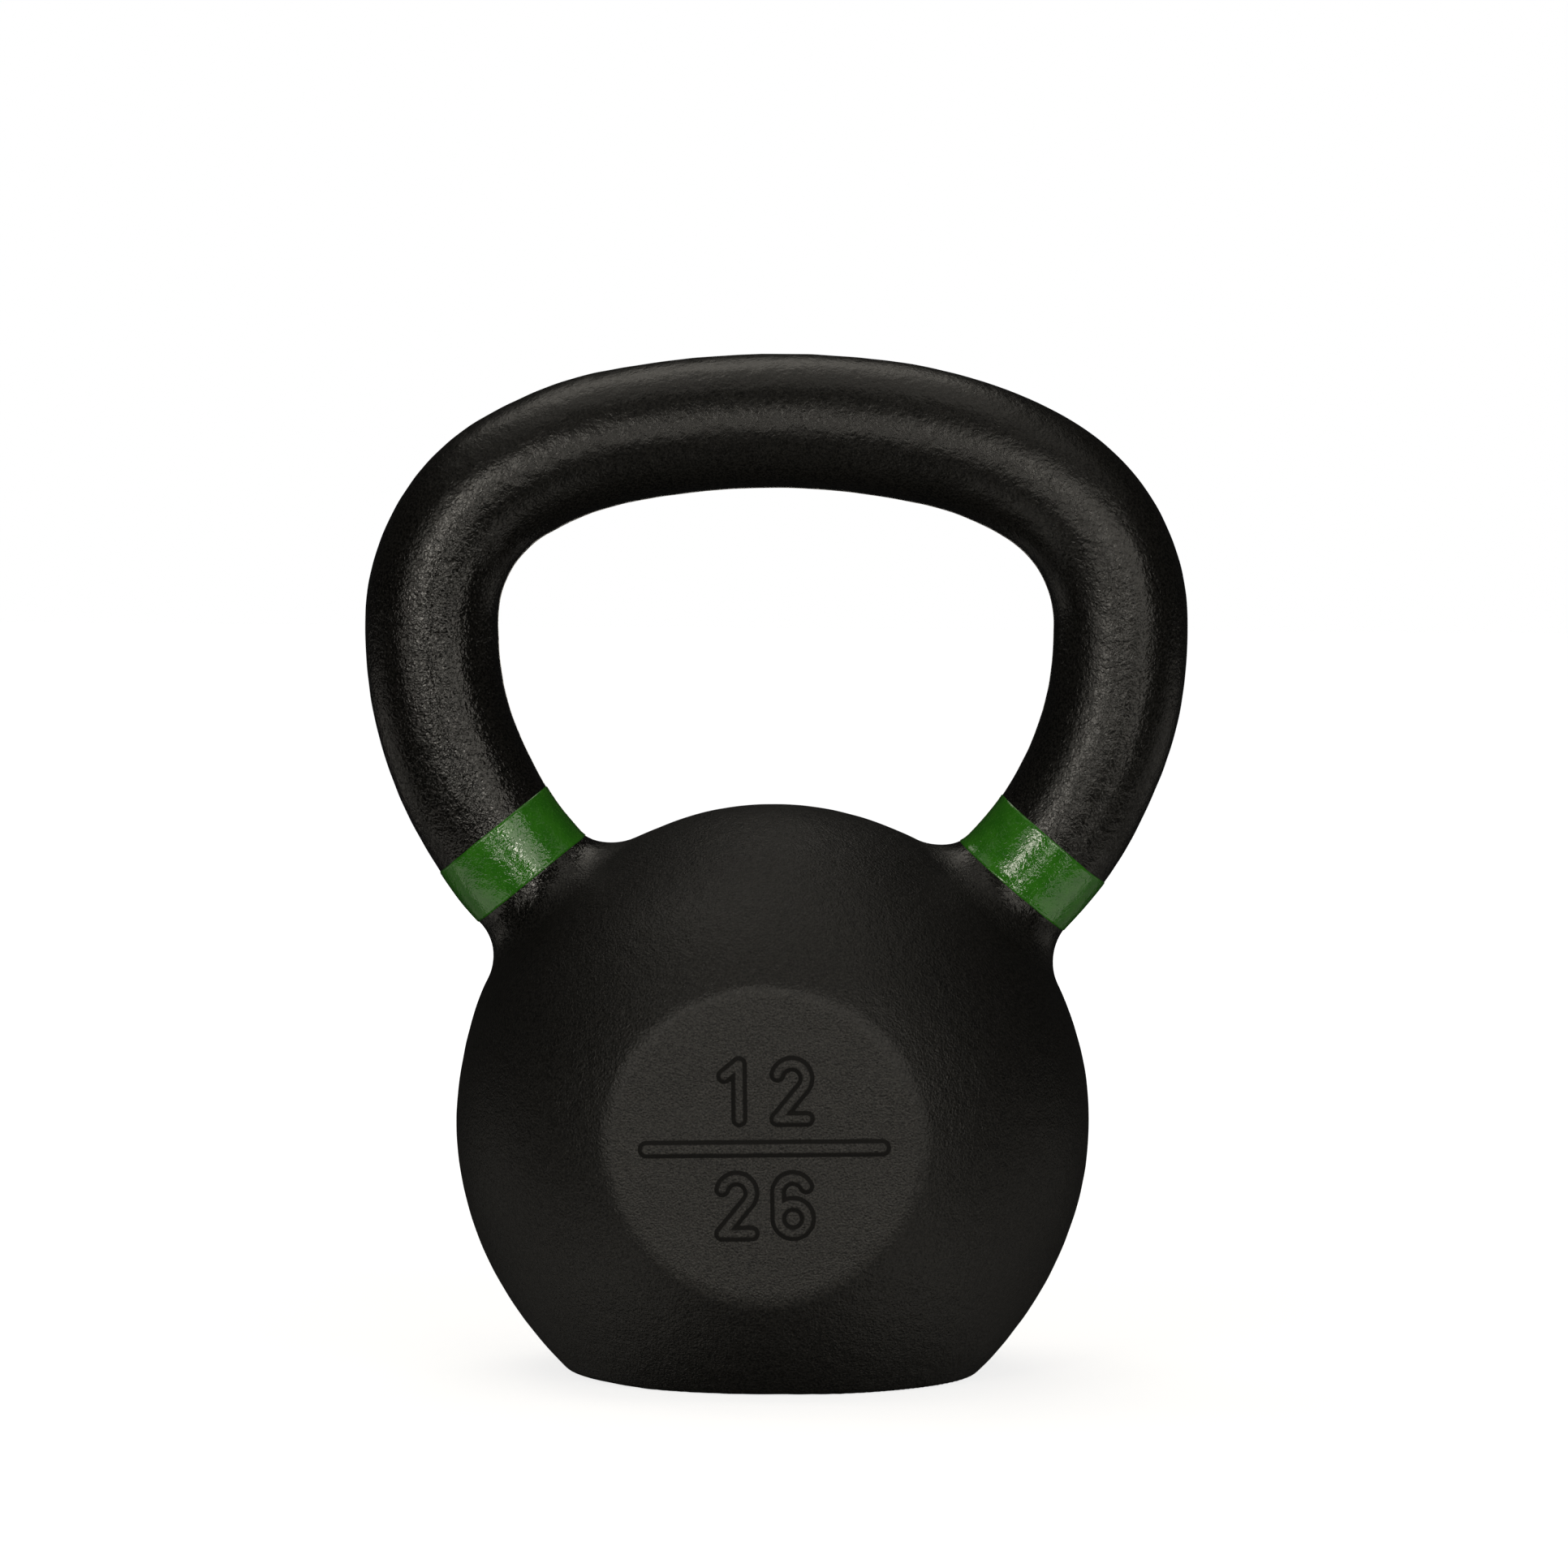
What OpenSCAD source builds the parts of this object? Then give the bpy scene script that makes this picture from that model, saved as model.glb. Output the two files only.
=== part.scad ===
// Kettlebell: a round iron bell with a flat base and two flat pads, a curved handle,
// a coloured band around each horn, and raised weight numerals on the front pad.
// The origin is the centre of the flat base. +Z is up, the handle spans X, the numerals face -Y.

/* [Bell] */
// Diameter of the ball
ball_d = 141.8; // [140:0.2:144]
// Height of the ball's centre above the base
ball_z = 56.3; // [55:0.1:58]
// Radius of the slightly fuller flank that runs down to the base
flank_r = 85.6; // [80:0.1:92]
// Angle below the ball's equator where the flank takes over
flank_from = 22; // [18:0.5:28]
// Radius of the rounded edge around the base
base_edge_r = 4; // [3:0.5:6]
// Distance between the faces of the front pad and the rear pad
pad_span = 124.2; // [122:0.1:128]

/* [Handle] */
// Thickness of the handle
handle_d = 30; // [28:0.5:32]
// Height of the handle's highest point above the base
overall_h = 228; // [226:0.1:231]
// Centreline radius of the nearly straight top bar
top_r = 172.6; // [165:0.1:180]
// Turn of the top bar's centreline, each side of the middle
top_turn = 11.9; // [11:0.1:13]
// Centreline radius of the shoulder
shoulder_r = 75.2; // [73:0.1:77]
// Turn of the shoulder's centreline
shoulder_turn = 19.3; // [18.5:0.1:20]
// Centreline radius of the corner
corner_r = 37.4; // [36:0.1:39]
// Turn of the corner's centreline
corner_turn = 56.4; // [55:0.1:57.5]
// Centreline radius of the horn
horn_r = 80; // [78:0.1:82]
// Heading of the horn where the handle ends and the bell's neck starts, hidden by the band
seam_at = 130; // [129:0.5:131]
// Radius of the hollow curve where each horn flares into the ball
flare_r = 7.5; // [6:0.5:8]

/* [Bands] */
// Width of each coloured band
band_w = 14.6; // [12:0.1:15]
// Thickness of the coloured coat
band_t = 0.3; // [0.2:0.05:0.5]
// Heading of the horn at the middle of the left band
left_band_at = 129.4; // [128.5:0.1:130.5]
// Heading of the horn at the middle of the right band
right_band_at = 130.3; // [129:0.1:130.5]

/* [Weight mark] */
// Height of the numerals
numeral_h = 15.2; // [12:0.1:16]
// Width of a numeral
numeral_w = 9.6; // [8:0.1:11]
// Distance from one numeral to the next
numeral_pitch = 12.2; // [11:0.1:14]
// Width of the numerals' strokes
stroke_w = 3.2; // [2:0.1:3.4]
// How far the mark stands out of the pad
mark_t = 0.8; // [0.5:0.1:1.2]
// Length of the bar between the two numbers
bar_l = 54.6; // [40:0.2:58]
// Width of the bar
bar_w = 3.6; // [2:0.1:4]
// Height of the bar's middle above the base
bar_z = 55.8; // [54:0.1:58]
// Gap between the bar and each number
mark_gap = 3; // [2:0.1:4]
// Turn of the whole mark on the pad, rising to the right
mark_turn = 1; // [0:0.1:2]

/* [Hidden] */
$fn = 128;

iron_black = [0.12, 0.12, 0.115];
pad_grey = [0.24, 0.24, 0.23];
band_green = [0.16, 0.42, 0.12];

ball_r = ball_d / 2;
tube_r = handle_d / 2;
pad_y = pad_span / 2;

// The flank's circle touches the ball's circle at flank_from below the equator.
flank_x = -(flank_r - ball_r) * cos(flank_from);
flank_z = ball_z + (flank_r - ball_r) * sin(flank_from);
flank_top = ball_z - ball_r * sin(flank_from);

// The base edge's circle touches the flank from inside, and the floor.
edge_x = flank_x + sqrt(pow(flank_r - base_edge_r, 2) - pow(flank_z - base_edge_r, 2));
edge_turn = atan2(base_edge_r - flank_z, edge_x - flank_x);

// A heading is the angle from straight up, turning towards +X, of the line from an arc's
// centre to its centreline. Each arc starts where the one before it ends, in the same direction.
function on_arc(centre, r, heading) = centre + r * [sin(heading), cos(heading)];
function next_centre(centre, r, heading, next_r) = on_arc(centre, r - next_r, heading);

// Every second arc of the handle is this much thinner, and reaches this far into its neighbours.
let_in_gap = 0.05;
let_in_l = 0.5;

shoulder_at = top_turn;
corner_at = shoulder_at + shoulder_turn;
horn_at = corner_at + corner_turn;

top_c = [0, overall_h - (tube_r - let_in_gap) - top_r];
shoulder_c = next_centre(top_c, top_r, shoulder_at, shoulder_r);
corner_c = next_centre(shoulder_c, shoulder_r, corner_at, corner_r);
horn_c = next_centre(corner_c, corner_r, horn_at, horn_r);

// The neck's tube runs on until its whole end is inside the ball.
neck_end = 142;

// The flare turns about the line from the ball's centre to the point where the horn arrives.
// It bites a little into the ball and the tube, so that the surfaces cross cleanly.
bite = 0.05;
arrival = on_arc(horn_c, horn_r, 135);
flare_tilt = atan2(arrival[0], arrival[1] - ball_z);
flare_x = tube_r + flare_r - bite;
flare_z = sqrt(pow(ball_r + flare_r - bite, 2) - pow(flare_x, 2));
flare_foot = ball_r - 10;

// Sizes of a numeral along the middle of its strokes, and each line's height above the bar.
bowl_r = (numeral_w - stroke_w) / 2;
line_h = numeral_h - stroke_w;
upper_bowl_z = line_h - bowl_r;
first_line_z = bar_w / 2 + mark_gap + stroke_w / 2;
second_line_z = -bar_w / 2 - mark_gap - numeral_h + stroke_w / 2;

// ---- shapes that repeat ----

// A round bar bent along an arc in the XZ plane, between two headings.
module bent_bar(centre, r, from, to, thinner = 0) {
    translate([centre[0], 0, centre[1]])
        rotate([90, 0, 0])
            rotate_extrude(start = 90 - to, angle = to - from)
                translate([r, 0])
                    circle(r = tube_r - thinner);
}

// The same, but a hair thinner, with both ends let into the bars that it joins.
module let_in_bar(centre, r, from, to) {
    let_in = let_in_l / r * 180 / PI;
    bent_bar(centre, r, from - let_in, to + let_in, let_in_gap);
}

// Half of the ball's outline, standing on the base, with the base's edge still sharp.
module sharp_outline() {
    intersection() {
        translate([0, ball_z])
            circle(r = ball_r);
        translate([0, flank_top])
            square([ball_r + 1, ball_r * 2]);
    }
    intersection() {
        translate([flank_x, flank_z])
            circle(r = flank_r);
        square([ball_r + 1, flank_top]);
    }
}

// The corner between the base and the flank that the rounded edge takes away.
module edge_waste() {
    reach = base_edge_r * 3;
    difference() {
        polygon([[edge_x, base_edge_r],
                 [edge_x, base_edge_r - reach],
                 [edge_x + reach * cos(edge_turn), base_edge_r + reach * sin(edge_turn)]]);
        translate([edge_x, base_edge_r])
            circle(r = base_edge_r);
    }
}

module ball() {
    intersection() {
        rotate_extrude()
            difference() {
                sharp_outline();
                edge_waste();
            }
        translate([-ball_r - 1, -pad_y, 0])
            cube([ball_d + 2, pad_span, ball_d + 2]);
    }
}

// The flare and the short stub of the right horn that belong to the bell.
module neck() {
    translate([0, 0, ball_z])
        rotate([0, flare_tilt, 0])
            rotate_extrude()
                difference() {
                    translate([0, flare_foot])
                        square([flare_x, flare_z - flare_foot]);
                    translate([flare_x, flare_z])
                        circle(r = flare_r);
                }
    bent_bar(horn_c, horn_r, seam_at, neck_end);
}

// A sleeve of the coat's thickness around the right horn, cut off square at both edges.
module horn_band(heading) {
    middle = on_arc(horn_c, horn_r, heading);
    spread = 10;
    intersection() {
        translate([horn_c[0], 0, horn_c[1]])
            rotate([90, 0, 0])
                rotate_extrude(start = 90 - heading - spread, angle = spread * 2)
                    translate([horn_r, 0])
                        difference() {
                            circle(r = tube_r + band_t);
                            circle(r = tube_r);
                        }
        translate([middle[0], 0, middle[1]])
            rotate([0, heading - 90, 0])
                cube([handle_d * 1.5, handle_d * 1.5, band_w], center = true);
    }
}

// ---- strokes of the numerals, drawn flat with X to the right and Y up ----

// A straight stroke with round ends.
module stroke(a, b, w = stroke_w) {
    run = b - a;
    for (end = [a, b])
        translate(end)
            circle(d = w);
    translate(a)
        rotate(atan2(run[1], run[0]))
            translate([0, -w / 2])
                square([norm(run), w]);
}

// A stroke with round ends that follows a circle between two angles under 360 degrees apart.
module bowl(centre, from, to) {
    outer = bowl_r + stroke_w / 2;
    steps = 6;
    translate(centre) {
        intersection() {
            difference() {
                circle(r = outer);
                circle(r = bowl_r - stroke_w / 2);
            }
            polygon(concat([[0, 0]],
                           [for (i = [0:steps])
                               let (a = from + (to - from) * i / steps)
                               outer * 2 * [cos(a), sin(a)]]));
        }
        for (a = [from, to])
            translate(bowl_r * [cos(a), sin(a)])
                circle(d = stroke_w);
    }
}

module one() {
    foot = [bowl_r * 0.25, 0];
    head = [bowl_r * 0.25, line_h];
    stroke(foot, head);
    stroke(head, head - [bowl_r, bowl_r * 0.8]);
}

module two() {
    leave = atan2(-upper_bowl_z, -bowl_r) + acos(bowl_r / norm([bowl_r, upper_bowl_z]));
    heel = [-bowl_r, 0];
    bowl([0, upper_bowl_z], leave, 165);
    stroke([bowl_r * cos(leave), upper_bowl_z + bowl_r * sin(leave)], heel);
    stroke(heel, [bowl_r, 0]);
}

module six() {
    translate([0, bowl_r])
        difference() {
            circle(r = bowl_r + stroke_w / 2);
            circle(r = bowl_r - stroke_w / 2);
        }
    stroke([-bowl_r, bowl_r], [-bowl_r, upper_bowl_z]);
    bowl([0, upper_bowl_z], 25, 180);
}

// Raises a flat drawing out of the front pad, with its baseline at a height above the bar.
module raised(z) {
    translate([0, -pad_y, bar_z])
        rotate([90, 0, 0])
            linear_extrude(height = mark_t)
                rotate(mark_turn)
                    translate([0, z])
                        children();
}

// ---- sub-parts ----

module bell() {
    color(iron_black) {
        ball();
        neck();
        mirror([1, 0, 0])
            neck();
    }
}

module handle() {
    color(iron_black) {
        let_in_bar(top_c, top_r, -top_turn, top_turn);
        for (side = [0, 1])
            mirror([side, 0, 0]) {
                bent_bar(shoulder_c, shoulder_r, shoulder_at, corner_at);
                let_in_bar(corner_c, corner_r, corner_at, horn_at);
                bent_bar(horn_c, horn_r, horn_at, seam_at);
            }
    }
}

module left_band() {
    color(band_green)
        mirror([1, 0, 0])
            horn_band(left_band_at);
}

module right_band() {
    color(band_green)
        horn_band(right_band_at);
}

module kilogram_numerals() {
    color(pad_grey)
        raised(first_line_z) {
            translate([-numeral_pitch / 2, 0])
                one();
            translate([numeral_pitch / 2, 0])
                two();
        }
}

module divider_bar() {
    color(pad_grey)
        raised(0)
            stroke([-(bar_l - bar_w) / 2, 0], [(bar_l - bar_w) / 2, 0], bar_w);
}

module pound_numerals() {
    color(pad_grey)
        raised(second_line_z) {
            translate([-numeral_pitch / 2, 0])
                two();
            translate([numeral_pitch / 2, 0])
                six();
        }
}

bell();
handle();
left_band();
right_band();
kilogram_numerals();
divider_bar();
pound_numerals();
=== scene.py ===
"""Kettlebell: the looks of the iron bell, its handle, its two enamel bands and its weight mark.

The casting is one distance function, as the real one is one piece of iron. The bell is meshed from
it, the handle is swept along its centreline and settled on it, and the bands and the numerals lie
on it. Shapes are worked out in millimetres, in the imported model's frame: the origin is the centre
of the flat base, +Z is up, the handle spans X and the numerals face -Y.
"""
import math

import bpy
import numpy as np
from mathutils import Matrix, Vector


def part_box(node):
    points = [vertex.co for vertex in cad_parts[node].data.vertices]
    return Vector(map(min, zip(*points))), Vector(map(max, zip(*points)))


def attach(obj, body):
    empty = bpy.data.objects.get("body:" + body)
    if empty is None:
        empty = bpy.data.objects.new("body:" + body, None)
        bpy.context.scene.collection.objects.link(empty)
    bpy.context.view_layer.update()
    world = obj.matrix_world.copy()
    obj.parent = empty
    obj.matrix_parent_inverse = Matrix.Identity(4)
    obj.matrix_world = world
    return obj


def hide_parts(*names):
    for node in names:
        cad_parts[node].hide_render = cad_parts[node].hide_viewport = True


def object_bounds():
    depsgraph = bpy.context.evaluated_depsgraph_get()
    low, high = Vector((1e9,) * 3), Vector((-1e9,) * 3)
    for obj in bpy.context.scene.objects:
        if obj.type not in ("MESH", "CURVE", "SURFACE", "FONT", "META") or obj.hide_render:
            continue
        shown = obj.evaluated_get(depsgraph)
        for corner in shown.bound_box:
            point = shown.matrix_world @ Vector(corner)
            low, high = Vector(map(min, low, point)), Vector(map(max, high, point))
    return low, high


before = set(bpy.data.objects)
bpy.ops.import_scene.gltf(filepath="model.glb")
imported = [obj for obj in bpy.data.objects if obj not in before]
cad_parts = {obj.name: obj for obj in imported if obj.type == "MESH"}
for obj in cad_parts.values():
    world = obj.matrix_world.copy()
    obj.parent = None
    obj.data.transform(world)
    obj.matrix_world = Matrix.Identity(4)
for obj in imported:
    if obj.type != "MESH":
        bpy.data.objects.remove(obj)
cad_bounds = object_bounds()

MM = 0.001

# ---- sizes ----


def corners(node):
    """The lowest and highest corners of a CAD node, in millimetres."""
    low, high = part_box(node)
    return low / MM, high / MM


BELL_LOW, BELL_HIGH = corners("bell")
HANDLE_LOW, HANDLE_HIGH = corners("handle")
BALL_R = (BELL_HIGH.x - BELL_LOW.x) / 2
PAD_Y = BELL_HIGH.y
TUBE_R = (HANDLE_HIGH.y - HANDLE_LOW.y) / 2
HANDLE_TOP = HANDLE_HIGH.z

# Driving dimensions of the CAD model that its boxes don't show.
BALL_Z = 56.3
FLANK_R = 85.6
FLANK_FROM = math.radians(22)
BASE_EDGE_R = 4.0
# Centreline radius and turn of the top bar, the shoulder, the corner and the horn.
HANDLE_ARCS = ((172.6, 11.9), (75.2, 19.3), (37.4, 56.4), (80.0, 54.4))
SEAM_AT = math.radians(130)
BAND_W = 14.6
LEFT_BAND_AT = math.radians(129.4)
RIGHT_BAND_AT = math.radians(130.3)
NUMERAL_H = 15.2
NUMERAL_W = 9.6
NUMERAL_PITCH = 12.2
STROKE_W = 3.2
MARK_T = 0.8
BAR_L = 54.6
BAR_W = 3.6
BAR_Z = 55.8
MARK_GAP = 3.0
MARK_TURN = math.radians(1)

# Where the rougher coat of the pads ends, and with it the paler crests painted on the pads as sheen.
PAD_Z = 55.8
PAD_HALF_W = 33.2
PAD_HALF_H = 34.6

# How the sharp corners of the casting are eased.
PAD_RIM_R = 1.0
FLARE_R_WINDOW = 7.1
FLARE_R_OUTSIDE = 8.3
FLARE_TILT = math.radians(45.2)

# The flank's circle touches the ball's circle at FLANK_FROM below the equator.
FLANK_X = -(FLANK_R - BALL_R) * math.cos(FLANK_FROM)
FLANK_Z = BALL_Z + (FLANK_R - BALL_R) * math.sin(FLANK_FROM)
EDGE_X = FLANK_X + math.sqrt((FLANK_R - BASE_EDGE_R) ** 2 - (FLANK_Z - BASE_EDGE_R) ** 2)
EDGE_TURN = math.atan2(BASE_EDGE_R - FLANK_Z, EDGE_X - FLANK_X)

# Where the moulder's hand left the casting fuller or leaner: x, z, spread and rise.
UNEVEN_SPOTS = (
    (-68, 103, 7, 0.5),
    (-66, 87, 6, 0.5),
    (-72, 187, 13, -0.4),
    (-56, 139, 8, 0.4),
    (-44, 7, 8, -0.3),
    (44, 7, 8, 0.4),
    (26, 226, 10, 0.3),
    (83, 126, 8, -0.35),
    (-28, 121, 7, -0.4),
)

# ---- the handle's centreline ----


def handle_arcs():
    """Centre x and z, radius, and first and last heading of each arc of the right half.

    A heading is the angle from straight up, turning towards +X, of the line from an arc's centre
    to its centreline. Each arc starts where the one before it ends, in the same direction.
    """
    arcs = []
    x, z, heading = 0.0, HANDLE_TOP - TUBE_R, 0.0
    for radius, turn in HANDLE_ARCS:
        centre_x = x - radius * math.sin(heading)
        centre_z = z - radius * math.cos(heading)
        end = heading + math.radians(turn)
        arcs.append((centre_x, centre_z, radius, heading, end))
        x = centre_x + radius * math.sin(end)
        z = centre_z + radius * math.cos(end)
        heading = end
    return arcs


ARCS = handle_arcs()
HORN_X, HORN_Z, HORN_R = ARCS[-1][:3]


def on_horn(heading):
    """The point of the right horn's centreline at a heading, as x and z."""
    return HORN_X + HORN_R * math.sin(heading), HORN_Z + HORN_R * math.cos(heading)


SEAM_X, SEAM_Z = on_horn(SEAM_AT)

# ---- the casting as a distance function ----


def rounded_max(a, b, r):
    """The common part of two shapes, with the edge between them rounded."""
    u = np.maximum(r + a, 0)
    v = np.maximum(r + b, 0)
    return np.minimum(-r, np.maximum(a, b)) + np.hypot(u, v)


def rounded_min(a, b, r):
    """Two shapes joined, with the hollow between them filled by a curve."""
    u = np.maximum(r - a, 0)
    v = np.maximum(r - b, 0)
    return np.maximum(r, np.minimum(a, b)) - np.hypot(u, v)


def ball(points):
    """Distance from the ball with its fuller flank, rounded base edge and two flat pads."""
    rho = np.hypot(points[..., 0], points[..., 1])
    z = points[..., 2]
    below = np.arctan2(z - BALL_Z, rho) < -FLANK_FROM
    side = np.where(below,
                    np.hypot(rho - FLANK_X, z - FLANK_Z) - FLANK_R,
                    np.hypot(rho, z - BALL_Z) - BALL_R)
    u = rho - EDGE_X
    w = z - BASE_EDGE_R
    turn = np.arctan2(w, u)
    around_edge = (turn < EDGE_TURN) & (turn > -math.pi / 2)
    stood = np.where(around_edge, np.hypot(u, w) - BASE_EDGE_R, np.maximum(side, -z))
    return rounded_max(stood, np.abs(points[..., 1]) - PAD_Y, PAD_RIM_R)


def tube(points):
    """Distance from the round bar bent along the handle's arcs. Both halves are alike."""
    x = np.abs(points[..., 0])
    z = points[..., 2]
    nearest = np.full(x.shape, np.inf)
    for centre_x, centre_z, radius, start, end in ARCS:
        heading = np.clip(np.arctan2(x - centre_x, z - centre_z), start, end)
        away_x = x - centre_x - radius * np.sin(heading)
        away_z = z - centre_z - radius * np.cos(heading)
        nearest = np.minimum(nearest, away_x ** 2 + away_z ** 2)
    return np.sqrt(nearest + points[..., 1] ** 2) - TUBE_R


def flare_radius(points):
    """The hollow curve where a horn meets the ball is wider outside than in the window."""
    above = points[..., 2] - BALL_Z
    across = np.abs(points[..., 0]) * math.cos(FLARE_TILT) - above * math.sin(FLARE_TILT)
    share = np.clip(across / TUBE_R, -1, 1) / 2 + 0.5
    return FLARE_R_WINDOW + (FLARE_R_OUTSIDE - FLARE_R_WINDOW) * share


def plain_casting(points):
    return rounded_min(ball(points), tube(points), flare_radius(points))


def waves(count, shortest, longest, rise, seed):
    """Plane waves in all directions that add up to an uneven surface."""
    rng = np.random.default_rng(seed)
    directions = rng.normal(size=(count, 3))
    directions /= np.linalg.norm(directions, axis=1)[:, None]
    lengths = rng.uniform(shortest, longest, count)
    phases = rng.uniform(0, 2 * math.pi, count)
    return directions * (2 * math.pi / lengths)[:, None], phases, rise


UNEVENNESS = (waves(10, 18, 45, 0.022, seed=3), waves(18, 4.5, 9, 0.005, seed=4))


def unevenness(points):
    """How far the sand-cast skin stands out of the plain shape."""
    rise = 0
    for steps, phases, height in UNEVENNESS:
        rise = rise + height * np.sin(points @ steps.T + phases).sum(-1)
    for x, z, spread, height in UNEVEN_SPOTS:
        away = (points[..., 0] - x) ** 2 + (points[..., 2] - z) ** 2
        rise = rise + height * np.exp(-away / (2 * spread ** 2))
    return rise


def casting(points):
    """Distance from the whole iron casting, uneven skin and all."""
    return plain_casting(points) - unevenness(points)


def past_seam(points):
    """Distance beyond the cut under the band, where the handle takes over from the bell."""
    away_x = np.abs(points[..., 0]) - SEAM_X
    away_z = points[..., 2] - SEAM_Z
    return -away_x * math.cos(SEAM_AT) + away_z * math.sin(SEAM_AT)


# ---- meshing ----

RELAX_ROUNDS = 8
# How much of the way towards its neighbours' middle a point slides in each round.
RELAX_SHARE = 0.6


def slope_of(shape, points, reach=0.02):
    """The way in which a shape's distance grows, worked out by small steps."""
    steps = [shape(points + reach * axis) - shape(points - reach * axis) for axis in np.eye(3)]
    return np.stack(steps, -1) / (2 * reach)


def unit(vectors):
    return vectors / np.linalg.norm(vectors, axis=-1, keepdims=True)


def settle(shape, points, steps, longest=0.6):
    """Moves points along the slope until they lie on the surface."""
    for _ in range(steps):
        slope = slope_of(shape, points)
        drop = np.clip(shape(points), -longest, longest) / (slope ** 2).sum(-1)
        points = points - drop[:, None] * slope
    return points


def surface_net(shape, low, high, cell):
    """Quads around the surface, with one vertex in each grid cell that the surface crosses."""
    axes = [np.arange(a, b + cell, cell) for a, b in zip(low, high)]
    y, z = np.meshgrid(axes[1], axes[2], indexing="ij")
    value = np.stack([shape(np.stack([np.full_like(y, x), y, z], -1)) for x in axes[0]])
    strides = np.array([value.shape[1] * value.shape[2], value.shape[2], 1])
    quads, crossings = [], []
    for axis in range(3):
        near = np.delete(value, -1, axis)
        far = np.delete(value, 0, axis)
        start = np.argwhere((near < 0) != (far < 0))
        here = near[tuple(start.T)]
        there = far[tuple(start.T)]
        crossing = start.astype(float)
        crossing[:, axis] += here / (here - there)
        around = []
        for step_u, step_v in ((0, 0), (1, 0), (1, 1), (0, 1)):
            corner = start.copy()
            corner[:, (axis + 1) % 3] -= step_u
            corner[:, (axis + 2) % 3] -= step_v
            around.append(corner @ strides)
        around = np.stack(around, -1)
        quads.append(np.where((here < 0)[:, None], around, around[:, ::-1]))
        crossings.append(crossing)
    quads = np.unique(np.concatenate(quads), return_inverse=True)[1].reshape(-1, 4)
    crossings = np.repeat(np.concatenate(crossings), 4, axis=0)
    count = np.bincount(quads.ravel())
    sums = [np.bincount(quads.ravel(), weights=crossings[:, i]) for i in range(3)]
    return np.array(low) + cell * np.stack(sums, -1) / count[:, None], quads


def relax(shape, points, quads):
    """Evens out the quads: each point slides along the surface towards its neighbours' middle."""
    ends = np.concatenate([quads[:, [i, (i + 1) % 4]] for i in range(4)])
    count = np.bincount(ends[:, 0])
    for _ in range(RELAX_ROUNDS):
        sums = [np.bincount(ends[:, 0], weights=points[ends[:, 1], i]) for i in range(3)]
        shift = np.stack(sums, -1) / count[:, None] - points
        normal = unit(slope_of(shape, points))
        shift -= (shift * normal).sum(-1, keepdims=True) * normal
        points = settle(shape, points + RELAX_SHARE * shift, 1)
    return points


def ring_quads(rows, columns, rings=None):
    """Quads between each ring of points and the next. With rings given, the last joins the first."""
    row, column = np.meshgrid(np.arange(rows), np.arange(columns), indexing="ij")
    after = (column + 1) % columns
    next_row = (row + 1) % rings if rings else row + 1
    return np.stack([row * columns + column, next_row * columns + column,
                     next_row * columns + after, row * columns + after], -1).reshape(-1, 4)


def turned_outward(points, faces):
    """The faces, wound so that their normals point out of the closed mesh."""
    a, b, c = (points[faces[:, i]] for i in range(3))
    d = points[faces[:, -1]]
    volume = (np.cross(a, b) * c).sum() + (np.cross(a, c) * d).sum()
    return faces if volume > 0 else faces[:, ::-1]


def add_piece(name, points, faces, shape=None):
    """A smooth mesh object, kept inside the CAD box. A shape gives it that shape's exact normals."""
    low, high = (np.array(corner) / MM for corner in cad_bounds)
    mesh = bpy.data.meshes.new(name)
    mesh.from_pydata((np.clip(points, low, high) * MM).tolist(), [], faces)
    mesh.polygons.foreach_set("use_smooth", [True] * len(mesh.polygons))
    if shape:
        mesh.normals_split_custom_set_from_vertices(unit(slope_of(shape, points)).tolist())
    piece = bpy.data.objects.new(name, mesh)
    bpy.context.scene.collection.objects.link(piece)
    return piece


def net_piece(name, shape, low, high, cell, grid_shape=None):
    """A closed piece around a shape. The grid may use a plainer version of it, which is quicker."""
    points, quads = surface_net(grid_shape or shape, low, high, cell)
    points = settle(shape, points, 2)
    points = relax(shape, points, quads)
    points = settle(shape, points, 2)
    return add_piece(name, points, turned_outward(points, quads).tolist(), shape)


# ---- the bell ----

BELL_CELL = 1.06
BELL_MARGIN = 2.3
SEAM_EDGE_R = 0.6


def bell_shape(points):
    return rounded_max(casting(points), past_seam(points), SEAM_EDGE_R)


def plain_bell_shape(points):
    return rounded_max(plain_casting(points), past_seam(points), SEAM_EDGE_R)


def make_bell():
    low = [corner - BELL_MARGIN for corner in BELL_LOW]
    high = [corner + BELL_MARGIN for corner in BELL_HIGH]
    cell = BELL_CELL
    return net_piece("cast_bell", bell_shape, low, high, cell, plain_bell_shape)


# ---- the handle ----

HANDLE_STEP = 0.64


def half_centreline():
    """Points of the right half's centreline from the middle to the seam: x, z and heading."""
    rows = []
    for centre_x, centre_z, radius, start, end in ARCS:
        last = min(end, SEAM_AT)
        count = max(2, round(radius * (last - start) / HANDLE_STEP))
        headings = np.linspace(start, last, count + 1)[:-1]
        for heading in headings:
            x = centre_x + radius * math.sin(heading)
            rows.append((x, centre_z + radius * math.cos(heading), heading))
    return rows + [(SEAM_X, SEAM_Z, SEAM_AT)]


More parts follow.
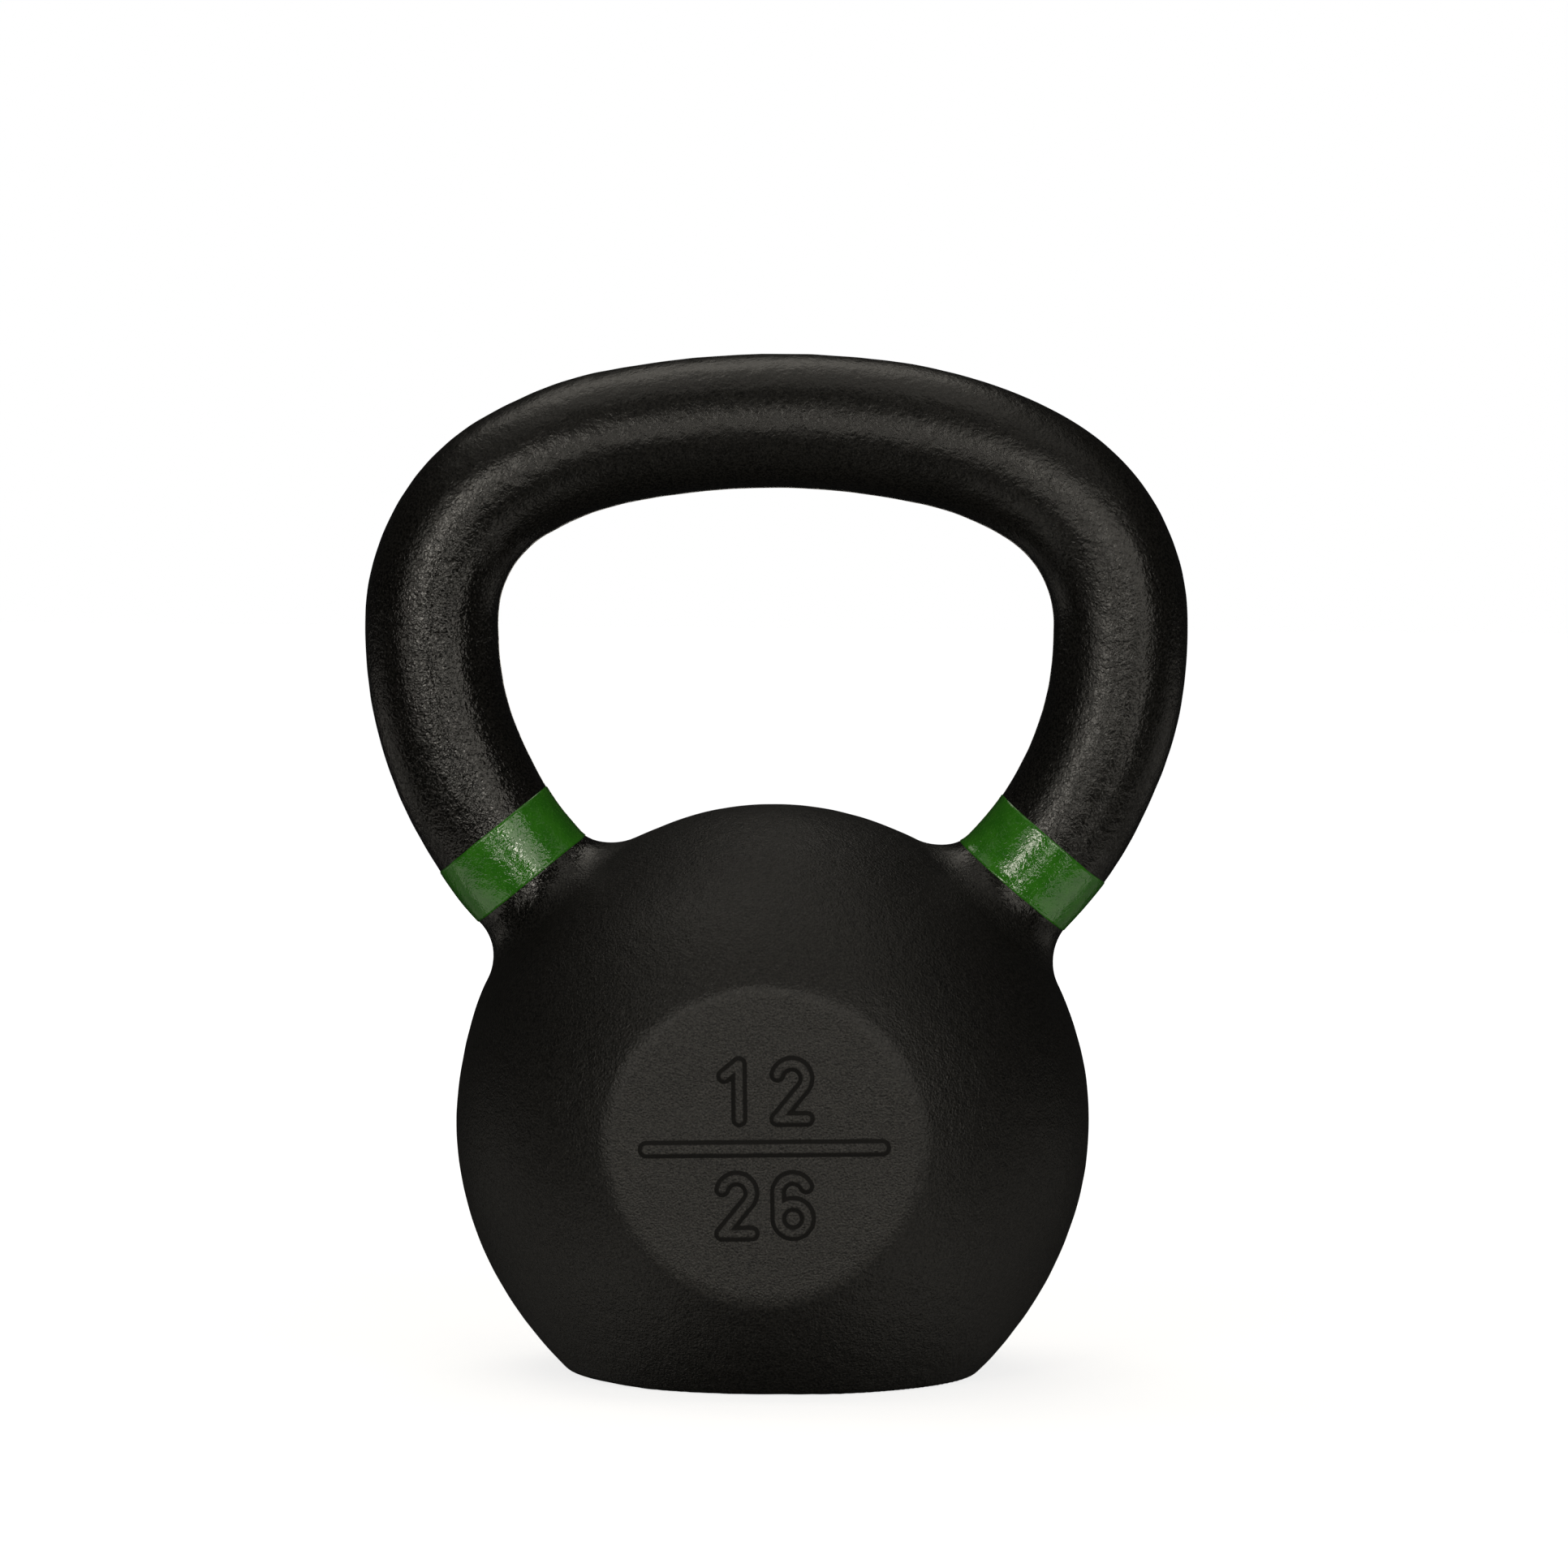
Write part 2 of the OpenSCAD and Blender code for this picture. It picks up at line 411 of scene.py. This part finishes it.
def make_handle():
    """Rings of the bar's section along the centreline, from the left seam to the right one."""
    half = half_centreline()
    line = [(-x, z, -h) for x, z, h in half[:0:-1]] + half
    x, z, heading = np.array(line).T
    columns = round(2 * math.pi * TUBE_R / HANDLE_STEP)
    around = np.linspace(0, 2 * math.pi, columns, endpoint=False)
    out = TUBE_R * np.cos(around)[None, :]
    points = np.stack([x[:, None] + out * np.sin(heading)[:, None],
                       np.broadcast_to(TUBE_R * np.sin(around), (len(x), columns)),
                       z[:, None] + out * np.cos(heading)[:, None]], -1).reshape(-1, 3)
    points = settle(casting, points, 2)
    quads = ring_quads(len(x) - 1, columns)
    first_cap = list(range(columns))
    last_cap = list(range(len(points) - 1, len(points) - columns - 1, -1))
    return add_piece("cast_handle", points, quads.tolist() + [first_cap, last_cap], casting)


# ---- the bands ----

COAT_T = 0.2
# The coat's inner face lies this deep in the iron, and its edges end this far under the surface.
COAT_SINK = 0.4
EDGE_SINK = 0.05
BAND_EASE = 0.5
BAND_COLUMNS = 200
# The brushed edges lie this far inside the band's width, and waver this much.
BRUSH_INSET = 0.12
BRUSH_WAVER = 0.09


def band_profile():
    """The coat's section: how far along the band, as a share of its half width, and how far out."""
    outer_rows = 46
    inner_rows = 6
    outer = [(-1 + 2 * i / outer_rows, 1) for i in range(outer_rows + 1)]
    inner = [(1 - 2 * i / inner_rows, 0) for i in range(inner_rows + 1)]
    return outer + inner


def make_band(name, side, heading, seed):
    """A coat of enamel around one horn that follows the iron under it."""
    rng = np.random.default_rng(seed)
    around = np.linspace(0, 2 * math.pi, BAND_COLUMNS, endpoint=False)
    middle = np.array([on_horn(heading)[0], 0, on_horn(heading)[1]])
    along = np.array([math.cos(heading), 0, -math.sin(heading)])
    outward = np.array([math.sin(heading), 0, math.cos(heading)])
    ray = np.cos(around)[:, None] * outward + np.sin(around)[:, None] * np.array([0, 1, 0])
    edges = []
    for _ in range(2):
        edge = np.zeros(BAND_COLUMNS)
        for turns in range(2, 15):
            edge += rng.normal() / turns * np.sin(turns * around + rng.uniform(0, 2 * math.pi))
        edges.append(BAND_W / 2 - BRUSH_INSET + BRUSH_WAVER * edge)
    points = []
    for share, face in band_profile():
        reach = share * edges[0 if share < 0 else 1]
        bend = HORN_R - np.sqrt(HORN_R ** 2 - reach ** 2)
        start = middle + reach[:, None] * along - bend[:, None] * outward
        to_edge = (1 - abs(share)) * BAND_W / 2
        ease = math.sqrt(1 - (1 - min(to_edge / BAND_EASE, 1)) ** 2)
        lift = ease * COAT_T - (1 - ease) * EDGE_SINK if face else -COAT_SINK
        far = np.full(BAND_COLUMNS, TUBE_R + lift)
        for _ in range(6):
            spot = start + far[:, None] * ray
            far = far - (casting(spot * [side, 1, 1]) - lift)
        points.append((start + far[:, None] * ray) * [side, 1, 1])
    quads = ring_quads(len(points), BAND_COLUMNS, rings=len(points))
    points = np.concatenate(points)
    band = add_piece(name, points, turned_outward(points, quads).tolist())
    # Keeps the satin iron next to it free of green.
    band.visible_glossy = False
    return band


# ---- the weight mark ----

BOWL_R = (NUMERAL_W - STROKE_W) / 2
LINE_H = NUMERAL_H - STROKE_W
UPPER_BOWL_Z = LINE_H - BOWL_R
# Height of each line's lowest strokes above the bar.
FIRST_LINE_Z = BAR_W / 2 + MARK_GAP + STROKE_W / 2
SECOND_LINE_Z = -BAR_W / 2 - MARK_GAP - NUMERAL_H + STROKE_W / 2

MARK_CELL = 0.21
MARK_MARGIN = 1.4
MARK_SINK = 0.35
MARK_BOTTOM_R = 0.1
# A stroke's wall rises from a foot just outside its edge to a crest inside it.
WALL_FOOT = 0.15
WALL_CREST = -0.85
WALL_EASE = 0.12
# Outside the foot the mark ends by falling below the pad's surface this steeply.
UNDERCUT = 1.6
# The painted shade along a wall reaches this far past its foot and fades over this width.
LINE_REACH = 0.25
LINE_FADE = 0.12


def to_stroke(x, z, start, end):
    """Distance from a straight stroke's middle line."""
    run_x, run_z = end[0] - start[0], end[1] - start[1]
    share = ((x - start[0]) * run_x + (z - start[1]) * run_z) / (run_x ** 2 + run_z ** 2)
    share = np.clip(share, 0, 1)
    return np.hypot(x - start[0] - share * run_x, z - start[1] - share * run_z)


def to_bowl(x, z, centre_z, first, last):
    """Distance from the middle line of a stroke that follows a circle between two angles."""
    middle = (first + last) / 2
    turn = np.arctan2(z - centre_z, x) - middle
    turn = (turn + math.pi) % (2 * math.pi) - math.pi
    turn = middle + np.clip(turn, first - middle, last - middle)
    return np.hypot(x - BOWL_R * np.cos(turn), z - centre_z - BOWL_R * np.sin(turn))


def one(x, z):
    head = (BOWL_R * 0.25, LINE_H)
    upright = to_stroke(x, z, (BOWL_R * 0.25, 0), head)
    flag = to_stroke(x, z, head, (head[0] - BOWL_R, head[1] - BOWL_R * 0.8))
    return np.minimum(upright, flag)


def two(x, z):
    to_heel = math.atan2(-UPPER_BOWL_Z, -BOWL_R)
    leave = to_heel + math.acos(BOWL_R / math.hypot(BOWL_R, UPPER_BOWL_Z))
    heel = (-BOWL_R, 0)
    bowl = to_bowl(x, z, UPPER_BOWL_Z, leave, math.radians(165))
    start = (BOWL_R * math.cos(leave), UPPER_BOWL_Z + BOWL_R * math.sin(leave))
    neck = to_stroke(x, z, start, heel)
    base = to_stroke(x, z, heel, (BOWL_R, 0))
    return np.minimum(np.minimum(bowl, neck), base)


def six(x, z):
    ring = to_bowl(x, z, BOWL_R, 0, 2 * math.pi)
    stem = to_stroke(x, z, (-BOWL_R, BOWL_R), (-BOWL_R, UPPER_BOWL_Z))
    hook = to_bowl(x, z, UPPER_BOWL_Z, math.radians(25), math.pi)
    return np.minimum(np.minimum(ring, stem), hook)


def bar(x, z):
    """Distance outside the bar's edge."""
    half = (BAR_L - BAR_W) / 2
    return to_stroke(x, z, (-half, 0), (half, 0)) - BAR_W / 2


def pair(left, right, base_z):
    """Two numerals side by side: distance outside their edges."""
    def drawing(x, z):
        left_one = left(x + NUMERAL_PITCH / 2, z - base_z)
        right_one = right(x - NUMERAL_PITCH / 2, z - base_z)
        return np.minimum(left_one, right_one) - STROKE_W / 2
    return drawing


def outside_mark(drawing, points):
    """Distance outside a drawing that is turned a little about the middle of the bar."""
    x = points[..., 0]
    z = points[..., 2] - BAR_Z
    return drawing(x * math.cos(MARK_TURN) + z * math.sin(MARK_TURN),
                   z * math.cos(MARK_TURN) - x * math.sin(MARK_TURN))


def make_mark(name, node, drawing):
    """A raised mark with sloped walls, cast on the front pad and sunk a little into it."""
    def height(points):
        away = outside_mark(drawing, points)
        wall = rounded_max((away - WALL_CREST) / (WALL_FOOT - WALL_CREST), 0, WALL_EASE)
        return MARK_T * (1 - np.minimum(wall, 1)) - UNDERCUT * np.maximum(away - WALL_FOOT, 0)

    def shape(points):
        out = casting(points)
        return rounded_max(out - height(points), -out - MARK_SINK, MARK_BOTTOM_R)

    low, high = corners(node)
    low = [low.x - MARK_MARGIN, -PAD_Y - MARK_T - MARK_MARGIN, low.z - MARK_MARGIN]
    high = [high.x + MARK_MARGIN, -PAD_Y + MARK_SINK + MARK_MARGIN / 2, high.z + MARK_MARGIN]
    cell = MARK_CELL
    piece = net_piece(name, shape, low, high, cell)
    places = np.empty(len(piece.data.vertices) * 3)
    piece.data.vertices.foreach_get("co", places)
    away = outside_mark(drawing, places.reshape(-1, 3) / MM)
    # Marks the walls and a thin line past their foot, where the coat gets painted shade.
    inside_line = np.minimum(away - WALL_CREST, WALL_FOOT - away + LINE_REACH)
    on_wall = piece.data.attributes.new("on_wall", "FLOAT", "POINT")
    on_wall.data.foreach_set("value", np.clip(inside_line / LINE_FADE, 0, 1))
    return piece


# ---- materials ----


class Nodes:
    """A short way to build one material's nodes."""

    def __init__(self, name):
        self.material = bpy.data.materials.new(name)
        self.material.use_nodes = True
        self.tree = self.material.node_tree
        self.shader = self.tree.nodes["Principled BSDF"]
        self.place = self.tree.nodes.new("ShaderNodeTexCoord").outputs["Object"]

    def put(self, socket, value):
        if isinstance(value, bpy.types.NodeSocket):
            self.tree.links.new(value, socket)
        else:
            socket.default_value = value

    def math(self, operation, a, b=0.0, clamp=False):
        node = self.tree.nodes.new("ShaderNodeMath")
        node.operation = operation
        node.use_clamp = clamp
        self.put(node.inputs[0], a)
        self.put(node.inputs[1], b)
        return node.outputs[0]

    def noise(self, size, detail=2.0, roughness=0.5, distortion=0.0):
        """Noise between about 0.25 and 0.75, with bumps of a size in millimetres."""
        node = self.tree.nodes.new("ShaderNodeTexNoise")
        self.put(node.inputs["Vector"], self.place)
        node.inputs["Scale"].default_value = 1 / (size * MM)
        node.inputs["Detail"].default_value = detail
        node.inputs["Roughness"].default_value = roughness
        node.inputs["Distortion"].default_value = distortion
        return node.outputs["Fac"]

    def attribute(self, name):
        node = self.tree.nodes.new("ShaderNodeAttribute")
        node.attribute_name = name
        return node.outputs["Fac"]

    def ramp(self, value, start, end, low=0.0, high=1.0):
        """A smooth step from low to high as a value goes from start to end."""
        node = self.tree.nodes.new("ShaderNodeMapRange")
        node.interpolation_type = "SMOOTHSTEP"
        self.put(node.inputs["Value"], value)
        self.put(node.inputs["From Min"], start)
        self.put(node.inputs["From Max"], end)
        self.put(node.inputs["To Min"], low)
        self.put(node.inputs["To Max"], high)
        return node.outputs["Result"]

    def mix(self, share, a, b):
        """A number between a and b."""
        node = self.tree.nodes.new("ShaderNodeMix")
        self.put(node.inputs["Factor"], share)
        self.put(node.inputs["A"], a)
        self.put(node.inputs["B"], b)
        return node.outputs["Result"]

    def blend(self, share, a, b):
        """A colour between a and b."""
        node = self.tree.nodes.new("ShaderNodeMix")
        node.data_type = "RGBA"
        self.put(node.inputs["Factor"], share)
        self.put(node.inputs[6], a)
        self.put(node.inputs[7], b)
        return node.outputs[2]

    def relief(self, size, height, detail=1.0, distortion=0.0):
        """Noise as bumps. Their size is given in millimetres and their height in metres."""
        return self.math("MULTIPLY", self.noise(size, detail, 0.5, distortion), height)

    def axis(self, name):
        node = self.tree.nodes.new("ShaderNodeSeparateXYZ")
        self.put(node.inputs[0], self.place)
        return node.outputs[name]

    def away_from(self, point):
        """Distance from a point, in metres."""
        node = self.tree.nodes.new("ShaderNodeVectorMath")
        node.operation = "DISTANCE"
        self.put(node.inputs[0], self.place)
        node.inputs[1].default_value = point
        return node.outputs["Value"]

    def across_pad(self):
        """Distance from the middle of the pads, as a share of their half width and height."""
        node = self.tree.nodes.new("ShaderNodeVectorMath")
        node.operation = "MULTIPLY"
        self.put(node.inputs[0], self.place)
        node.inputs[1].default_value = (1 / (PAD_HALF_W * MM), 0, 1 / (PAD_HALF_H * MM))
        share = self.tree.nodes.new("ShaderNodeVectorMath")
        share.operation = "DISTANCE"
        self.put(share.inputs[0], node.outputs["Vector"])
        share.inputs[1].default_value = (0, 0, PAD_Z / PAD_HALF_H)
        return share.outputs["Value"]

    def bump(self, height):
        """Bumps whose height is given in metres."""
        node = self.tree.nodes.new("ShaderNodeBump")
        node.inputs["Distance"].default_value = 1.0
        self.put(node.inputs["Height"], height)
        self.put(self.shader.inputs["Normal"], node.outputs["Normal"])


# Bumps: the size of the grain and how high it stands, in millimetres.
LEATHER_SIZE = 0.85
LEATHER_LEFT = 0.20
LEATHER_RIGHT = 0.15
LEATHER_TOP = 0.09
LEATHER_TWIST = 0.9
FINE_SIZE = 0.55
FINE_RISE = 0.22
FINE_TWIST = 0.5
FINEST_SIZE = 0.45
FINEST_RISE = 0.20
DENT_SIZE = 2.6
DENT_RISE = 0.20
DENT_SHARE_ON_PAD = 0.2

# Roughness of the coat.
ROUGH_LEFT = 0.10
ROUGH_RIGHT = 0.24
ROUGH_TOP = 0.32
ROUGH_BALL = 0.42
ROUGH_PAD = 0.45
ROUGH_WALL = 0.9
ROUGH_SPREAD = 0.25

# Colours of the coat: its pits and its crests, the paler crests of the pads, which are painted sheen
# for the light the flat pads catch, and the painted shade on the walls of the mark.
PIT_DARK = (0.0030, 0.0030, 0.0027, 1)
PIT_PALE = (0.0050, 0.0049, 0.0044, 1)
CREST = (0.0155, 0.0150, 0.0137, 1)
PAD_CREST_PAINTED_SHEEN = (0.0290, 0.0281, 0.0259, 1)
WALL_PAINTED_SHADE = (0.0040, 0.0038, 0.0035, 1)


def black_coat():
    """Satin black powder coat: leathery on the handle, finer on the ball, finest on the pads."""
    nodes = Nodes("black_coat")
    on_pad = nodes.ramp(nodes.across_pad(), 1.02, 0.97)
    from_ball = nodes.away_from((0, 0, BALL_Z * MM))
    on_handle = nodes.ramp(from_ball, (BALL_R - 0.5) * MM, (BALL_R + 5) * MM)
    on_top = nodes.ramp(nodes.axis("Z"), 170 * MM, 212 * MM)
    on_right = nodes.ramp(nodes.axis("X"), -50 * MM, 50 * MM)
    on_wall = nodes.attribute("on_wall")

    on_horns = nodes.mix(on_right, LEATHER_LEFT * MM, LEATHER_RIGHT * MM)
    leather_rise = nodes.mix(on_top, on_horns, LEATHER_TOP * MM)
    leather = nodes.relief(LEATHER_SIZE, leather_rise, distortion=LEATHER_TWIST)
    fine = nodes.relief(FINE_SIZE, FINE_RISE * MM, distortion=FINE_TWIST)
    finest = nodes.relief(FINEST_SIZE, FINEST_RISE * MM)
    dents = nodes.relief(DENT_SIZE, DENT_RISE * MM, detail=2.0)
    dents = nodes.math("MULTIPLY", dents, nodes.mix(on_pad, 1.0, DENT_SHARE_ON_PAD))
    grain = nodes.mix(on_pad, nodes.mix(on_handle, fine, leather), finest)
    nodes.bump(nodes.math("ADD", grain, dents))

    on_crest = nodes.ramp(nodes.noise(0.5, 2, 0.6), 0.42, 0.58)
    patches = nodes.ramp(nodes.noise(12, 3), 0.3, 0.7)
    pits = nodes.blend(patches, PIT_DARK, PIT_PALE)
    # On the pads the crests are painted paler, as sheen for the light the flat pads catch; their
    # finer grain and rougher coat are real.
    crests_and_pad_sheen = nodes.blend(on_pad, CREST, PAD_CREST_PAINTED_SHEEN)
    # The mark's walls and the line at their foot are painted dark, as shade that falls in them.
    colour = nodes.blend(on_wall, nodes.blend(on_crest, pits, crests_and_pad_sheen), WALL_PAINTED_SHADE)
    nodes.put(nodes.shader.inputs["Base Color"], colour)

    rough_handle = nodes.mix(on_top, nodes.mix(on_right, ROUGH_LEFT, ROUGH_RIGHT), ROUGH_TOP)
    rough = nodes.mix(on_pad, nodes.mix(on_handle, ROUGH_BALL, rough_handle), ROUGH_PAD)
    around_middle = nodes.math("SUBTRACT", nodes.noise(0.9, 3), 0.5)
    rough = nodes.math("ADD", rough, nodes.math("MULTIPLY", around_middle, ROUGH_SPREAD), clamp=True)
    nodes.put(nodes.shader.inputs["Roughness"], nodes.mix(on_wall, rough, ROUGH_WALL))
    return nodes.material


ENAMEL_GRAIN_SIZE = 0.80
ENAMEL_GRAIN_RISE = 0.090
ENAMEL_DENT_RISE = 0.12
ENAMEL_ROUGH = 0.05
ENAMEL_ROUGH_SPREAD = 0.06
ENAMEL_SHINE = 0.9
GREEN_DEEP = (0.031, 0.195, 0.0105, 1)
GREEN_BRIGHT = (0.046, 0.245, 0.0150, 1)
GREEN_SPECK = (0.080, 0.300, 0.040, 1)


def band_enamel():
    """Glossy green enamel brushed over the grain, so that the grain still breaks up its shine."""
    nodes = Nodes("band_enamel")
    leather = nodes.relief(ENAMEL_GRAIN_SIZE, ENAMEL_GRAIN_RISE * MM, distortion=LEATHER_TWIST)
    dents = nodes.relief(DENT_SIZE, ENAMEL_DENT_RISE * MM, detail=2.0)
    nodes.bump(nodes.math("ADD", leather, dents))
    tone = nodes.ramp(nodes.noise(5, 4, 0.6), 0.35, 0.65)
    speck = nodes.ramp(nodes.noise(0.35, 1), 0.62, 0.70)
    green = nodes.blend(speck, nodes.blend(tone, GREEN_DEEP, GREEN_BRIGHT), GREEN_SPECK)
    nodes.put(nodes.shader.inputs["Base Color"], green)
    spread = nodes.math("MULTIPLY", nodes.noise(0.8, 2), ENAMEL_ROUGH_SPREAD)
    nodes.put(nodes.shader.inputs["Roughness"], nodes.math("ADD", spread, ENAMEL_ROUGH))
    nodes.shader.inputs["Specular IOR Level"].default_value = ENAMEL_SHINE
    return nodes.material


# ---- stage, light and camera ----

TARGET = Vector((0, 0, 110)) * MM


def direction(azimuth, elevation):
    """The way from the object: azimuth 0 is in front of the numerals and turns to their right."""
    a, e = math.radians(azimuth), math.radians(elevation)
    return Vector((math.sin(a) * math.cos(e), -math.cos(a) * math.cos(e), math.sin(e)))


LAMP_DISTANCE = 1.6
LAMP_TINT = (1.0, 0.945, 0.845)
# A lamp's watts for each square metre of its face and unit of its brightness.
WATTS_PER_GLOW = 4.0


def add_softbox(name, azimuth, elevation, width, height, glow):
    """A soft box in a direction from the object. Its width and height are angles seen from there."""
    light = bpy.data.lights.new(name, "AREA")
    light.shape = "RECTANGLE"
    light.size = 2 * LAMP_DISTANCE * math.tan(math.radians(width / 2))
    light.size_y = 2 * LAMP_DISTANCE * math.tan(math.radians(height / 2))
    light.energy = glow * WATTS_PER_GLOW * light.size * light.size_y
    light.color = LAMP_TINT
    lamp = bpy.data.objects.new(name, light)
    way = direction(azimuth, elevation)
    lamp.location = TARGET + way * LAMP_DISTANCE
    lamp.rotation_euler = way.to_track_quat("Z", "Y").to_euler()
    lamp.visible_camera = False
    bpy.context.scene.collection.objects.link(lamp)


def make_lights():
    """Soft boxes on both sides in front, each with a bright core, and weaker lamps all around.

    The cores draw the streaks on the glossy bands, and back_top draws the top bar's upper edge. The
    lamp behind stands across the object from the camera, so it lights the rear and little else.
    """
    add_softbox("left_wing", -42, 8, 14, 34, 0.75)
    add_softbox("left_strip", -22, 8, 16, 30, 1.5)
    add_softbox("left_core", -20, 13, 10, 12, 4.0)
    add_softbox("low_core", -5, -5, 6, 6, 4.5)
    add_softbox("middle_strip", 10, -2, 12, 8, 2.0)
    add_softbox("right_core", 11, 11, 6, 6, 8.0)
    add_softbox("right_box", 20, 18, 20, 24, 1.3)
    add_softbox("right_wing", 42, 5, 14, 50, 1.3)
    add_softbox("overhead", 0, 89, 50, 50, 0.4)
    add_softbox("back_top", -155, 64, 50, 24, 0.85)
    add_softbox("behind", -178.4, -3.5, 10, 10, 1.0)
    for side in (-1, 1):
        add_softbox("high_side", 60 * side, 55, 40, 24, 0.2)
        add_softbox("low_fill", 65 * side, -45, 60, 26, 0.40)
        add_softbox("side_fill", 112 * side, -14, 40, 16, 0.2)
        add_softbox("table_glow", 128 * side, -34, 40, 16, 0.09)


AMBIENT = 0.010


def make_world():
    """A white studio for the camera that lights the object only faintly."""
    world = bpy.data.worlds.new("studio")
    bpy.context.scene.world = world
    world.use_nodes = True
    tree = world.node_tree
    background = tree.nodes["Background"]
    path = tree.nodes.new("ShaderNodeLightPath")
    strength = tree.nodes.new("ShaderNodeMapRange")
    strength.inputs["To Min"].default_value = AMBIENT
    strength.inputs["To Max"].default_value = 1.0
    tree.links.new(path.outputs["Is Camera Ray"], strength.inputs["Value"])
    tree.links.new(strength.outputs["Result"], background.inputs["Strength"])
    background.inputs["Color"].default_value = (1, 1, 1, 1)


FLOOR_HALF = 6.0
FLOOR_DROP = 0.2 * MM
FLOOR_GREY = (0.8, 0.8, 0.8, 1)
# The floor glows a little less near the object. The last two are distances from it, in metres.
GLOW_NEAR = 0.80
GLOW_FROM = 0.15
GLOW_FULL_AT = 0.6


def make_floor():
    """A pale floor that melts into the white studio and keeps a soft contact shadow."""
    mesh = bpy.data.meshes.new("studio_floor")
    corner_signs = ((-1, -1), (1, -1), (1, 1), (-1, 1))
    square = [(x * FLOOR_HALF, y * FLOOR_HALF, -FLOOR_DROP) for x, y in corner_signs]
    mesh.from_pydata(square, [], [(0, 1, 2, 3)])
    floor = bpy.data.objects.new("studio_floor", mesh)
    bpy.context.scene.collection.objects.link(floor)
    nodes = Nodes("pale_floor")
    nodes.shader.inputs["Base Color"].default_value = FLOOR_GREY
    nodes.shader.inputs["Roughness"].default_value = 0.9
    nodes.shader.inputs["Emission Color"].default_value = (1, 1, 1, 1)
    glow = nodes.ramp(nodes.away_from((0, 0, 0)), GLOW_FROM, GLOW_FULL_AT, GLOW_NEAR)
    nodes.put(nodes.shader.inputs["Emission Strength"], glow)
    mesh.materials.append(nodes.material)
    floor.visible_glossy = False
    floor.visible_diffuse = False
    floor.visible_shadow = False


CAMERA_AT = Vector((49.0, -1713.1, 214.3)) * MM
CAMERA_HEADING = math.radians(1.570)
CAMERA_PITCH = math.radians(-2.755)
CAMERA_ROLL = math.radians(0.383)
LENS = 175.9


def make_camera():
    data = bpy.data.cameras.new("camera")
    data.lens = LENS
    data.clip_end = 50
    camera = bpy.data.objects.new("camera", data)
    heading = Matrix.Rotation(CAMERA_HEADING, 4, "Z")
    pitch = Matrix.Rotation(math.pi / 2 + CAMERA_PITCH, 4, "X")
    roll = Matrix.Rotation(CAMERA_ROLL, 4, "Z")
    camera.matrix_world = Matrix.Translation(CAMERA_AT) @ heading @ pitch @ roll
    bpy.context.scene.collection.objects.link(camera)
    bpy.context.scene.camera = camera
    bpy.context.scene.view_settings.view_transform = "Standard"


# ---- putting it together ----


def finish_piece(piece, node, material):
    """Gives a piece its material and its CAD body, and lets it stand for its CAD node."""
    piece.data.materials.append(material)
    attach(piece, "root")
    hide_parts(node)


def main():
    make_camera()
    make_world()
    make_floor()
    make_lights()
    coat = black_coat()
    enamel = band_enamel()
    finish_piece(make_bell(), "bell", coat)
    finish_piece(make_handle(), "handle", coat)
    left = make_band("enamel_band_left", -1, LEFT_BAND_AT, seed=11)
    finish_piece(left, "left_band", enamel)
    right = make_band("enamel_band_right", 1, RIGHT_BAND_AT, seed=12)
    finish_piece(right, "right_band", enamel)
    marks = (
        ("raised_12", "kilogram_numerals", pair(one, two, FIRST_LINE_Z)),
        ("raised_bar", "divider_bar", bar),
        ("raised_26", "pound_numerals", pair(two, six, SECOND_LINE_Z)),
    )
    for name, node, drawing in marks:
        finish_piece(make_mark(name, node, drawing), node, coat)


main()
